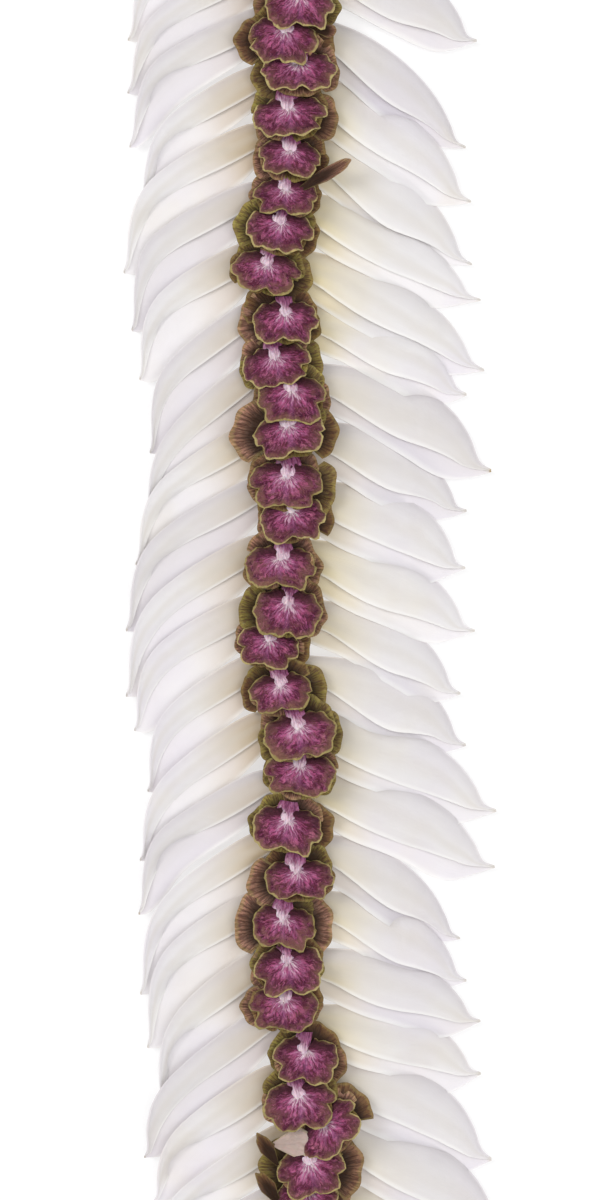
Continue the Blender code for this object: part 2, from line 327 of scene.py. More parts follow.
def lay_copies(name, copies):
    """One object from many copies: (pattern, its points in metres, tone) for each."""
    materials = []
    points, faces, slots, uvs, tones = [], [], [], [], []
    total = 0
    for pattern, placed, tone in copies:
        for material in pattern.materials:
            if material not in materials:
                materials.append(material)
        index = [materials.index(material) for material in pattern.materials]
        points.append(placed)
        faces += [tuple(k + total for k in face) for face in pattern.faces]
        slots += [index[k] for k in pattern.slots]
        uvs.append(pattern.uv)
        tones.append(np.full(len(placed), tone))
        total += len(placed)
    mesh = bpy.data.meshes.new(name)
    mesh.from_pydata(np.vstack(points).tolist(), [], faces)
    for material in materials:
        mesh.materials.append(material)
    mesh.polygons.foreach_set("material_index", slots)
    mesh.polygons.foreach_set("use_smooth", [True] * len(faces))
    mesh.uv_layers.new(name="petal").data.foreach_set("uv", np.concatenate(uvs))
    mesh.attributes.new("tone", "FLOAT", "POINT").data.foreach_set("value", np.concatenate(tones))
    mesh.update()
    mesh.set_sharp_from_angle(angle=math.radians(SHARP_ANGLE))
    made = bpy.data.objects.new(name, mesh)
    bpy.context.collection.objects.link(made)
    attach(made, BODY)
    return made


# ---------------------------------------------------------------- materials


def srgb(red, green, blue):
    """A colour given as it looks on a screen, 0 to 255, as the shader wants it."""
    values = (value / 255 for value in (red, green, blue))
    return tuple(v / 12.92 if v < 0.04045 else ((v + 0.055) / 1.055) ** 2.4 for v in values)


class Nodes:
    """A short hand for wiring a material or a node group."""

    def __init__(self, tree):
        self.tree = tree

    def add(self, kind, inputs=None, **settings):
        node = self.tree.nodes.new(kind)
        for key, value in settings.items():
            setattr(node, key, value)
        for key, value in (inputs or {}).items():
            self.feed(node.inputs[key], value)
        return node

    def feed(self, socket, value):
        """Wires a socket to another one's value, or gives it a fixed value."""
        if isinstance(value, bpy.types.NodeSocket):
            self.tree.links.new(value, socket)
        else:
            socket.default_value = value

    def math(self, operation, *values):
        inputs = dict(enumerate(values))
        return self.add("ShaderNodeMath", inputs, operation=operation).outputs[0]

    def times(self, first, second):
        return self.math("MULTIPLY", first, second)

    def plus(self, first, second):
        return self.math("ADD", first, second)

    def minus(self, first, second):
        return self.math("SUBTRACT", first, second)

    def off_middle(self, value):
        """How far a value from 0 to 1 is from the middle, 0.5."""
        return self.math("ABSOLUTE", self.minus(value, 0.5))

    def ramp(self, value, low, high, to_low=0.0, to_high=1.0):
        """Smoothly from to_low, where value is low, to to_high, where it is high."""
        node = self.add(
            "ShaderNodeMapRange",
            {"Value": value, 1: low, 2: high, 3: to_low, 4: to_high},
            interpolation_type="SMOOTHSTEP",
        )
        return node.outputs[0]

    def mix(self, share, first, second, blend="MIX"):
        node = self.add("ShaderNodeMix", data_type="RGBA", blend_type=blend)
        self.feed(node.inputs[0], share)
        for spot, value in ((6, first), (7, second)):
            fixed = not isinstance(value, bpy.types.NodeSocket)
            self.feed(node.inputs[spot], (*value, 1) if fixed else value)
        return node.outputs[2]

    def noise(self, vector, scale, detail=3.0, roughness=0.5):
        inputs = {
            "Vector": vector, "Scale": scale, "Detail": detail, "Roughness": roughness,
        }
        return self.add("ShaderNodeTexNoise", inputs).outputs[0]

    def vector(self, x, y, z):
        return self.add("ShaderNodeCombineXYZ", {0: x, 1: y, 2: z}).outputs[0]


def new_material(name, roughness, **constants):
    material = bpy.data.materials.new(name)
    material.use_nodes = True
    nodes = Nodes(material.node_tree)
    shader = material.node_tree.nodes["Principled BSDF"]
    shader.inputs["Roughness"].default_value = roughness
    for key, value in constants.items():
        shader.inputs[key.replace("_", " ")].default_value = value
    return material, nodes, shader


def petal_place(nodes):
    """(u, v, tone) of the petal that a point is on."""
    uv = nodes.add("ShaderNodeUVMap", uv_map="petal").outputs[0]
    spot = nodes.add("ShaderNodeSeparateXYZ", {0: uv})
    tone = nodes.add("ShaderNodeAttribute", attribute_name="tone").outputs["Fac"]
    return spot.outputs[0], spot.outputs[1], tone


def new_group(name, inputs, outputs):
    """An empty shader node group with float sockets: inputs as {name: default}."""
    tree = bpy.data.node_groups.new(name, "ShaderNodeTree")
    for key, value in inputs.items():
        socket = tree.interface.new_socket(name=key, in_out="INPUT", socket_type="NodeSocketFloat")
        socket.default_value = value
    for key in outputs:
        tree.interface.new_socket(name=key, in_out="OUTPUT", socket_type="NodeSocketFloat")
    nodes = Nodes(tree)
    return nodes, nodes.add("NodeGroupInput").outputs, nodes.add("NodeGroupOutput")


def veins_group():
    """Fine lines that run along a petal, wander and fork. Across and Along are the place on the
    petal from 0 to 1, Seed sets one petal apart from another, Count is about how many lines lie
    side by side, Wander how far they stray, Fineness how wide they are and Breaks how often they
    change along the petal."""
    name = "petal_veins"
    if name in bpy.data.node_groups:
        return bpy.data.node_groups[name]
    defaults = {
        "Across": 0.0, "Along": 0.0, "Seed": 0.0,
        "Count": 20.0, "Wander": 1.0, "Fineness": 0.5, "Breaks": 2.6,
    }
    nodes, given, result = new_group(name, defaults, ("Veins", "Streaks", "Mottle"))
    seed = nodes.times(given["Seed"], 37.0)
    spot = nodes.vector(nodes.times(given["Across"], 5.0), nodes.times(given["Along"], 3.0), seed)
    mottle = nodes.noise(spot, 1.6, 4.0, 0.6)
    wander = nodes.times(mottle, given["Wander"])
    side = nodes.plus(nodes.times(given["Across"], given["Count"]), wander)
    long = nodes.times(given["Along"], given["Breaks"])
    lines = nodes.noise(nodes.vector(side, long, seed), 1.0, 2.5, 0.6)
    ridge = nodes.off_middle(lines)
    width = nodes.times(given["Fineness"], 0.1)
    veins = nodes.minus(1.0, nodes.math("DIVIDE", ridge, width))
    clamped = nodes.math("MAXIMUM", veins, 0.0)
    nodes.tree.links.new(clamped, result.inputs["Veins"])
    nodes.tree.links.new(nodes.ramp(lines, 0.36, 0.64), result.inputs["Streaks"])
    nodes.tree.links.new(mottle, result.inputs["Mottle"])
    return nodes.tree


def rim_group():
    """A ragged band along a petal's edge. Edge is 1 at the edge and falls inwards."""
    name = "petal_rim"
    if name in bpy.data.node_groups:
        return bpy.data.node_groups[name]
    defaults = {"Edge": 0.0, "Around": 0.0, "Seed": 0.0, "Width": 0.08, "Raggedness": 0.5}
    nodes, given, result = new_group(name, defaults, ("Rim",))
    seed = nodes.times(given["Seed"], 53.0)
    rough = nodes.noise(nodes.vector(nodes.times(given["Around"], 24.0), 0.0, seed), 1.0, 3.0)
    ragged = nodes.times(nodes.minus(rough, 0.5), given["Raggedness"])
    width = nodes.times(given["Width"], nodes.plus(1.0, nodes.times(ragged, 3.0)))
    depth = nodes.math("DIVIDE", nodes.minus(1.0, given["Edge"]), width)
    rim = nodes.ramp(depth, 0.55, 1.25, 1.0, 0.0)
    nodes.tree.links.new(rim, result.inputs["Rim"])
    return nodes.tree


def use_group(nodes, tree, **inputs):
    return nodes.add("ShaderNodeGroup", inputs, node_tree=tree).outputs


def rim_band(nodes, edge, around, seed, width, raggedness):
    inputs = {"Edge": edge, "Around": around, "Seed": seed}
    return use_group(nodes, rim_group(), **inputs, Width=width, Raggedness=raggedness)["Rim"]


def add_bump(nodes, shader, height, distance, strength=0.5):
    bump = nodes.add(
        "ShaderNodeBump", {"Height": height, "Distance": distance, "Strength": strength}
    )
    nodes.tree.links.new(bump.outputs[0], shader.inputs["Normal"])


def white_petal_material(side, cream, gold):
    """Soft white with warm and lilac patches, cream towards the thread, and a dry brown tip.
    Painted shade lies near each fold, a painted shadow under the upper layer's free edge and a
    painted highlight along the free edges.
    """
    look = settings()
    material, nodes, shader = new_material(
        f"white_petal_{side}", 0.5,
        Subsurface_Weight=0.25, Subsurface_Scale=0.003, Specular_IOR_Level=0.25,
    )
    shader.inputs["Subsurface Radius"].default_value = (1.0, 0.95, 0.9)
    u, v, tone = petal_place(nodes)
    place = nodes.add("ShaderNodeTexCoord").outputs["Object"]
    patches = nodes.noise(place, 48.0, 2.0)
    moved = nodes.add("ShaderNodeMapping", {"Vector": place, "Location": (3.0, 5.0, 0.0)})
    warm = nodes.noise(moved.outputs[0], 60.0, 2.0)
    drawn = use_group(
        nodes, veins_group(), Across=v, Along=u, Seed=tone, Count=46.0, Wander=2.0, Fineness=0.7
    )
    patch = nodes.ramp(patches, 0.45, 0.72, 0.0, 0.7)
    colour = nodes.mix(patch, look.petal_white, look.petal_shade)
    colour = nodes.mix(nodes.ramp(warm, 0.45, 0.75, 0.0, 0.35), colour, look.petal_base)
    from_root = nodes.plus(u, nodes.times(patches, 0.2))
    colour = nodes.mix(nodes.ramp(from_root, 0.26, 0.6, cream, 0.0), colour, look.petal_base)
    colour = nodes.mix(nodes.ramp(from_root, 0.2, 0.5, 0.95, 0.0), colour, gold)
    # Painted shade: grey-lilac over the lower layer and near the fold, fading out towards the upper
    # layer's free edge, stronger on some petals than others.
    across = nodes.plus(v, nodes.times(nodes.minus(patches, 0.5), 0.3))
    strength = nodes.ramp(tone, 0.0, 1.0, 0.5, 1.4)
    shade = nodes.times(nodes.ramp(across, 0.5, 0.8, 0.5, 0.0), strength)
    colour = nodes.mix(shade, colour, srgb(212, 205, 215))
    # Painted shade: a warm darker streak along the upper layer, short of its free edge.
    shade_streak = nodes.times(
        nodes.ramp(across, 0.66, 0.76, 0.0, 0.3), nodes.ramp(across, 0.78, 0.9, 1.0, 0.0)
    )
    colour = nodes.mix(shade_streak, colour, srgb(212, 202, 188))
    # Painted shadow on the lower layer, darkening from just inside its free edge, where the upper
    # layer's free edge shades it.
    shade = nodes.times(nodes.ramp(v, 0.08, 0.3, 0.0, 0.4), strength)
    colour = nodes.mix(shade, colour, srgb(214, 208, 208))
    # Painted highlight along both free edges.
    edge_highlight = nodes.ramp(nodes.off_middle(v), 0.44, 0.5, 0.0, 0.6)
    colour = nodes.mix(edge_highlight, colour, srgb(250, 248, 245))
    colour = nodes.mix(nodes.times(drawn["Veins"], 0.025), colour, srgb(196, 188, 190))
    colour = nodes.mix(nodes.ramp(u, 0.93, 1.0, 0.0, 0.5), colour, srgb(214, 204, 186))
    tip = nodes.times(nodes.ramp(u, 0.975, 0.995), nodes.ramp(tone, 0.85, 1.0))
    colour = nodes.mix(tip, colour, look.petal_tip)
    nodes.tree.links.new(colour, shader.inputs["Base Color"])
    swell = nodes.noise(place, 130.0, 1.5)
    relief = nodes.plus(swell, nodes.times(drawn["Veins"], 0.012))
    add_bump(nodes, shader, relief, 0.0016, 0.5)
    return material


def lip_material():
    """Wine purple with darker forking veins from the throat, a pale throat and a cream rim, with a
    painted highlight along its middle and painted shadow on its upper sides, where the flower in
    front laps over it.
    """
    look = settings()
    material, nodes, shader = new_material(
        "orchid_lip", 0.55, Subsurface_Weight=0.05, Subsurface_Scale=0.001, Specular_IOR_Level=0.2
    )
    u, v, tone = petal_place(nodes)
    from_middle = nodes.minus(u, 0.5)
    side = nodes.math("ABSOLUTE", from_middle)
    turn = nodes.times(from_middle, math.radians(2 * LIP_HALF_TURN))
    down = nodes.times(v, nodes.math("COSINE", turn))

    def veins(seed, count, wander, fineness):
        return use_group(
            nodes, veins_group(), Across=u, Along=v, Seed=nodes.plus(tone, seed),
            Count=count, Wander=wander, Fineness=fineness, Breaks=4.5,
        )

    coarse, fine, streaks = veins(0, 60, 7, 1.6), veins(0.37, 120, 12, 2.2), veins(0.7, 46, 3, 3.0)
    mottle = coarse["Mottle"]
    light = nodes.mix(nodes.ramp(mottle, 0.38, 0.62), look.lip_light, srgb(146, 68, 108))
    colour = nodes.mix(nodes.ramp(coarse["Streaks"], 0.25, 0.75), look.lip_purple, light)
    colour = nodes.mix(nodes.ramp(fine["Streaks"], 0.3, 0.8, 0.0, 0.7), colour, look.lip_dark)
    colour = nodes.mix(nodes.times(coarse["Veins"], 0.5), colour, look.lip_dark)
    brown = nodes.plus(
        nodes.ramp(tone, 0.35, 0.95, 0.15, 0.55), nodes.ramp(v, 0.4, 1.0, -0.1, 0.25)
    )
    brown = nodes.times(brown, nodes.ramp(fine["Mottle"], 0.42, 0.6))
    colour = nodes.mix(brown, colour, srgb(136, 92, 84))
    glow = nodes.times(nodes.ramp(v, 0.2, 0.85, 0.9, 0.0), coarse["Streaks"])
    colour = nodes.mix(glow, colour, srgb(188, 86, 136))
    # Painted highlight along the lip's middle line, strongest towards the throat.
    middle = nodes.times(
        nodes.ramp(side, 0.004, 0.04, 0.5, 0.0), nodes.ramp(v, 0.25, 0.95, 1.0, 0.2)
    )
    colour = nodes.mix(middle, colour, srgb(188, 112, 166))
    # Painted shadow: the lip's upper sides darken, where the flower in front laps over it.
    colour = nodes.mix(nodes.ramp(down, 0.2, -0.2, 0.0, 0.85), colour, srgb(62, 26, 34))
    reach = nodes.minus(v, nodes.times(streaks["Streaks"], 0.33))
    reach = nodes.plus(reach, nodes.times(side, 0.6))
    forward = nodes.ramp(side, 0.2, 0.36, 1.0, 0.0)
    pink = nodes.times(nodes.ramp(reach, -0.1, 0.5, 0.85, 0.0), forward)
    colour = nodes.mix(pink, colour, srgb(206, 128, 174))
    white = nodes.times(nodes.ramp(reach, -0.2, 0.2, 0.97, 0.0), forward)
    colour = nodes.mix(white, colour, look.throat)
    deep = nodes.times(nodes.ramp(v, 0.7, 0.9, 0.0, 0.45), nodes.ramp(mottle, 0.3, 0.6, 1.0, 0.2))
    colour = nodes.mix(deep, colour, look.lip_dark)
    rim_colour = nodes.mix(nodes.ramp(tone, 0.2, 0.8, 0.0, 0.7), look.rim, srgb(158, 144, 84))
    halo = rim_band(nodes, v, u, tone, 0.17, 1.2)
    colour = nodes.mix(nodes.times(halo, 0.42), colour, srgb(140, 104, 80))
    rim = rim_band(nodes, v, u, tone, 0.055, 1.3)
    colour = nodes.mix(nodes.times(rim, 0.85), colour, rim_colour)
    nodes.tree.links.new(colour, shader.inputs["Base Color"])
    relief = nodes.plus(mottle, nodes.times(coarse["Streaks"], 0.4))
    add_bump(nodes, shader, relief, 0.0009, 0.8)
    return material


def sepal_material():
    """Brown to olive with fine dark lines that fan out, a thin green-yellow edge, and painted
    shadow towards the flower's middle, under the lip.
    """
    look = settings()
    material, nodes, shader = new_material(
        "orchid_sepal", 0.5, Subsurface_Weight=0.08, Subsurface_Scale=0.001, Specular_IOR_Level=0.35
    )
    u, v, tone = petal_place(nodes)
    drawn = use_group(
        nodes, veins_group(), Across=u, Along=v, Seed=tone, Count=36.0, Wander=1.5, Fineness=2.2
    )
    mottle = drawn["Mottle"]
    ground = nodes.mix(nodes.ramp(tone, 0.28, 0.5), look.sepal_pink, look.sepal_brown)
    ground = nodes.mix(nodes.ramp(tone, 0.55, 0.8), ground, look.sepal_olive)
    ground = nodes.mix(nodes.ramp(tone, 0.9, 1.0), ground, srgb(196, 182, 90))
    ground = nodes.mix(nodes.ramp(mottle, 0.4, 0.66, 0.0, 0.65), ground, srgb(98, 64, 42))
    colour = nodes.mix(nodes.ramp(drawn["Streaks"], 0.3, 0.8, 0.0, 0.7), ground, srgb(84, 48, 38))
    pale = nodes.ramp(tone, 0.0, 0.03, 1.0, 0.0)
    colour = nodes.mix(pale, colour, srgb(212, 188, 178))
    # Painted shadow: dark brown towards the flower's middle, where the lip above shades the sepal.
    root = nodes.ramp(nodes.plus(v, nodes.times(mottle, 0.2)), 0.66, 1.14, 0.95, 0.0)
    root = nodes.times(root, nodes.minus(1.0, pale))
    colour = nodes.mix(root, colour, srgb(48, 27, 12))
    edge = nodes.off_middle(u)
    edge = nodes.math("MAXIMUM", v, nodes.times(edge, 2.0))
    rim = rim_band(nodes, edge, u, tone, 0.09, 1.0)
    colour = nodes.mix(nodes.times(rim, 0.35), colour, look.sepal_rim)
    nodes.tree.links.new(colour, shader.inputs["Base Color"])
    add_bump(nodes, shader, nodes.minus(mottle, drawn["Veins"]), 0.0004, 0.7)
    return material


def hood_material():
    """Pale pink with purple stripes that run forwards to a white front."""
    look = settings()
    material, nodes, shader = new_material(
        "orchid_hood", 0.42, Subsurface_Weight=0.15, Subsurface_Scale=0.001, Specular_IOR_Level=0.4
    )
    u, v, tone = petal_place(nodes)
    drawn = use_group(
        nodes, veins_group(), Across=v, Along=u, Seed=tone, Count=13.0, Wander=2.0, Fineness=2.6
    )
    front = nodes.plus(u, nodes.times(drawn["Mottle"], 0.7))
    front = nodes.minus(front, nodes.times(v, 0.5))
    back = nodes.ramp(front, 0.4, 1.0, 1.0, 0.0)
    side = nodes.off_middle(v)
    back = nodes.math("MAXIMUM", back, nodes.ramp(side, 0.2, 0.5, 0.0, 0.9))
    colour = nodes.mix(back, srgb(234, 208, 220), srgb(178, 108, 148))
    stripes = nodes.times(drawn["Streaks"], nodes.plus(nodes.times(back, 0.5), 0.42))
    colour = nodes.mix(stripes, colour, srgb(112, 46, 84))
    colour = nodes.mix(nodes.ramp(front, 0.95, 1.2, 0.0, 0.45), colour, srgb(242, 228, 226))
    nodes.tree.links.new(colour, shader.inputs["Base Color"])
    add_bump(nodes, shader, drawn["Veins"], 0.0003, 0.6)
    return material


def stalk_material():
    material, nodes, shader = new_material("orchid_stalk", 0.45, Specular_IOR_Level=0.35)
    place = nodes.add("ShaderNodeTexCoord").outputs["Object"]
    spots = nodes.noise(place, 900.0, 3.0)
    colour = nodes.mix(nodes.ramp(spots, 0.4, 0.65), srgb(142, 150, 84), srgb(108, 92, 52))
    nodes.tree.links.new(colour, shader.inputs["Base Color"])
    add_bump(nodes, shader, spots, 0.0002)
    return material


def cotton_material():
    look = settings()
    material, nodes, shader = new_material("cotton_thread", 0.85)
    place = nodes.add("ShaderNodeTexCoord").outputs["Object"]
    wave = nodes.add("ShaderNodeTexWave", {"Vector": place, "Scale": 700.0, "Distortion": 2.0})
    twist = wave.outputs["Fac"]
    colour = nodes.mix(twist, srgb(206, 198, 176), look.cotton)
    nodes.tree.links.new(colour, shader.inputs["Base Color"])
    add_bump(nodes, shader, twist, 0.0002)
    return material


# ---------------------------------------------------------------- white petals


def folded_petal(name, outline, variant, plump, thickness, material):
    """One petal folded along its middle. Its grid runs from root to tip, and across from the
    lower layer's free edge over the fold to the upper layer's."""
    chance = np.random.default_rng(PETAL_SEED + variant)
    upper_width, lower_width = 1 + chance.uniform(-0.14, 0.1), 1 + chance.uniform(-0.12, 0.1)
    first, second, third = chance.uniform(0, 2 * np.pi, 3)
    bulge = chance.uniform(-1.6, 1.0)

    def shape(u, v):
        across = 2 * v - 1
        share = np.abs(across)
        t = 1 - (1 - u) ** 1.15
        fold, upper, lower = (
            smooth_line(outline[key], t) for key in ("fold", "upper", "lower")
        )
        body = np.sin(np.pi * np.clip(t, 0, 1)) ** 0.8
        fold[:, 1] += bulge * np.sin(np.pi * np.clip(t, 0, 1) ** 2) ** 2
        top = (across > 0)[:, None]
        width = 1 + (np.where(across > 0, upper_width, lower_width) - 1) * body
        points = fold + (np.where(top, upper, lower) - fold) * (share * width)[:, None]
        puff = np.where(across > 0, 1.5, -0.5) * (1 - (1 - share) ** 2) * (1 - 0.85 * share)
        points[:, 2] += puff * plump * body
        ripple = np.sin(8 * t + first) + 0.6 * np.sin(13 * t + second)
        points[:, 2] += 0.4 * ripple * share**2 * body
        points[:, 2] += 0.25 * np.sin(9 * t + 4 * share + third) * body
        points[:, 1] += 0.45 * (np.sin(7 * t + second) + np.sin(12 * t + third)) * share**3 * body
        return points

    return Pattern(shaped_grid(name, PETAL_GRID, shape, thickness, material))


# ---------------------------------------------------------------- orchids


def ruffle(turn, chance, counts):
    """Waves of random strength and phase, about 1 high, along a rim that bends by turn."""
    waves = [
        chance.uniform(0.5, 1.0) * np.sin(n * turn + chance.uniform(0, 2 * np.pi)) for n in counts
    ]
    return sum(waves) / math.sqrt(len(counts))


def orchid_lip(name, variant, thickness, material):
    """The ruffled lip: a kidney-shaped fan round the throat, lobed at both sides, notched at its
    lower middle, and higher there than where the flower in front covers it."""
    chance = np.random.default_rng(LIP_SEED + variant)
    strength = chance.uniform(0.6, 1.3)
    notches = [(side * chance.uniform(44, 62), chance.uniform(0.02, 0.32)) for side in (-1, 1)]

    def shape(u, v):
        turn = np.radians(LIP_HALF_TURN) * (2 * u - 1)
        degrees = np.abs(np.degrees(turn))
        r = 0.06 + 0.94 * v
        reach = np.interp(degrees, LIP_TURNS, LIP_REACH)
        calm = np.clip(1.6 - degrees / 100, 0, 1)
        rough = 0.45 * ruffle(turn, chance, (5, 8, 12)) + 0.2 * ruffle(turn, chance, (17, 25))
        reach = (reach + rough * calm) * (1 - sum(
            depth * np.exp(-(((np.degrees(turn) - at) / 7) ** 2)) for at, depth in notches
        ))
        a = reach * r * np.sin(turn)
        b = LIP_MIDDLE - reach * r * np.cos(turn)
        wave = ruffle(turn, chance, (6, 9, 14))
        z = LIP_HEIGHT + LIP_SLOPE * (LIP_MIDDLE - b) + 1.0 * np.sin(np.pi * r**1.2)
        z += (0.95 * strength * wave + 0.25) * r**3 * np.clip(1.7 - degrees / 85, 0.15, 1)
        z -= 0.9 * np.exp(-((degrees / 11) ** 2)) * np.sin(np.pi * r)
        z -= 0.010 * a * a * r
        z -= 0.7 * (np.clip(r - 0.84, 0, 1) / 0.16) ** 2
        b = b + 0.5 * strength * wave * r**4
        return np.stack([a, b, z], axis=1)

    return Pattern(shaped_grid(name, LIP_GRID, shape, thickness, material))


def orchid_hood(name, variant, thickness, material):
    """The arched hood over the throat, with a bumpy white front."""
    phase = 1.3 * variant

    def shape(u, v):
        across = 2 * v - 1
        half = 2.3 + 0.9 * u + 0.3 * np.sin(4 * u + 2 * phase)
        a = half * across + 0.9 * np.sin(phase) * u
        ragged = np.cos(2.2 * np.pi * across + phase)
        ragged = ragged + 0.6 * np.cos(5.3 * np.pi * across + 2 * phase)
        b = 6.6 - 4.2 * u - 0.35 * u**3 * ragged - 1.1 * (1 - across**2) * u
        z = LIP_HEIGHT + LIP_SLOPE * (LIP_MIDDLE - b) + 0.35 + 0.8 * (1 - across**2) - 0.9 * u**6
        z += 0.16 * np.cos(5 * np.pi * across + phase) * (1 - across**2) - 0.9 * (1 - u) ** 2
        return np.stack([a, b, z], axis=1)

    return Pattern(shaped_grid(name, HOOD_GRID, shape, thickness, material))


def orchid_sepal(name, variant, thickness, material):
    """A rounded sepal like a shell, fanning out along +b from the flower's middle."""
    chance = np.random.default_rng(SEPAL_SEED + variant)

    def shape(u, v):
        turn = np.radians(SEPAL_HALF_TURN) * (2 * u - 1)
        r = 0.12 + 0.88 * v
        reach = SEPAL_REACH * (1 - 0.1 * (2 * u - 1) ** 4) + 0.4 * ruffle(turn, chance, (6, 11))
        a = reach * r * np.sin(turn)
        b = reach * r * np.cos(turn)
        z = SEPAL_DOME * np.sin(np.pi * (0.1 + 0.72 * r))
        z = z + 0.3 * ruffle(turn, chance, (7, 12)) * r**3
        return np.stack([a, b, z], axis=1)

    return Pattern(shaped_grid(name, SEPAL_GRID, shape, thickness, material))


def orchid_stalk(material):
    """The short stalk that carries a flower on the thread."""
    deselect_all()
    low, high = STALK_SPAN
    bpy.ops.mesh.primitive_cone_add(
        vertices=8, radius1=STALK_RADII[0], radius2=STALK_RADII[1], depth=high - low,
        location=(0, 0.5, (low + high) / 2),
    )
    bpy.ops.object.transform_apply(location=True, rotation=True, scale=True)
    made = bpy.context.object
    made.data.materials.append(material)
    return Pattern(made)


def turned(points, degrees, tilt=0.0, at=(0, 0, 0), scale=1.0):
    """Points turned about z, clockwise seen from above, after a tilt that raises the +b end."""
    turn = Matrix.Rotation(math.radians(-degrees), 3, "Z")
    turn = turn @ Matrix.Rotation(math.radians(tilt), 3, "X")
    return points @ (np.array(turn) * scale).T + np.array(at)


# ---------------------------------------------------------------- settings


def colour(name, description, value):
    return bpy.props.FloatVectorProperty(
        name=name, description=description, default=srgb(*value), size=3, min=0, max=1,
        subtype="COLOR",
    )


def thickness(name, description, value):
    return bpy.props.FloatProperty(
        name=name, description=description, default=value * MM, min=0.2 * MM, max=1.0 * MM,
        subtype="DISTANCE", unit="LENGTH",
    )


class LeiSettings(bpy.types.PropertyGroup):
    petal_thickness: thickness("Petal thickness", "Thickness of one layer of a white petal", 0.35)
    lip_thickness: thickness("Lip thickness", "Thickness of an orchid's lip and sepals", 0.35)
    petal_white: colour("Petal white", "White of the folded petals", (245, 242, 241))
    petal_shade: colour("Petal shade", "Faint cast in patches on the petals", (234, 227, 236))
    petal_base: colour("Petal base", "Cream of the petals towards the thread", (240, 230, 202))
    petal_tip: colour("Petal tip", "Dry tip of a folded petal", (176, 150, 110))
    lip_purple: colour("Lip purple", "Main purple of the orchids' lips", (102, 34, 60))
    lip_light: colour("Lip light", "Lighter patches of the lips", (170, 98, 122))
    lip_dark: colour("Lip veins", "Dark veins of the lips", (60, 14, 36))
    throat: colour("Throat", "Pale streaks in the throat", (246, 226, 232))
    rim: colour("Lip rim", "Cream edge of the lips", (194, 178, 118))
    sepal_pink: colour("Sepal pink", "Pinkest of the sepals", (204, 150, 126))
    sepal_brown: colour("Sepal brown", "Brown of the sepals", (142, 102, 62))
    sepal_olive: colour("Sepal olive", "Greenest of the sepals", (156, 140, 66))
    sepal_rim: colour("Sepal rim", "Edge of the sepals", (166, 150, 88))
    cotton: colour("Cotton", "The thread", (238, 233, 218))


def settings():
    return bpy.context.scene.lei_settings


# ---------------------------------------------------------------- operators


class LEI_OT_white_petals(bpy.types.Operator):
    """Lay the folded white petals along both sides of the thread"""

    bl_idname = "lei.white_petals"
    bl_label = "White Petals"

    def execute(self, context):
        thickness = settings().petal_thickness / MM
        outer = white_petal_material("outer", 0.8, srgb(226, 204, 128))
        inner = white_petal_material("inner", 0.55, srgb(186, 154, 94))
        sides = {
            side: [
                folded_petal(f"{side}_{k}", outline, first + k, plump, thickness, material)
                for k in range(PETAL_KINDS)
            ]
            for side, outline, first, plump, material in (
                ("right", RIGHT_PETAL, 0, 1.0, outer),
                ("left", LEFT_PETAL, PETAL_KINDS, 0.6, inner),
            )
        }
        route = Route()
        chance = np.random.default_rng(LAID_PETALS_SEED)
        places = spread(TIERS, route)
        for number in range(TIERS // TIERS_PER_NODE):
            copies = []
            for tier in range(number * TIERS_PER_NODE, (number + 1) * TIERS_PER_NODE):
                for side, patterns in sides.items():
                    pattern = patterns[chance.integers(PETAL_KINDS)]
                    points = pattern.points.copy()
                    out = np.abs(points[:, 0]) / PETAL_REACH
                    strewn = chance.normal(*TIP_FURTHER), chance.normal(*TIP_SWEEP)
                    lift = chance.normal(*TIP_LIFT)
                    further, sweep = TIPS[side].get(tier, strewn)
                    points[:, 0] *= 1 + further / PETAL_REACH * out
                    points[:, 1] += sweep * out**1.5
                    points[:, 2] = np.maximum(points[:, 2] + lift * out, PETAL_CLEARANCE)
                    copies.append((pattern, route.place(places[tier], points), chance.random()))
            piece = lay_copies(f"folded_petals_{number + 1:02d}", copies)
            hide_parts(f"white_petals_{number + 1:02d}")
        return {"FINISHED"}


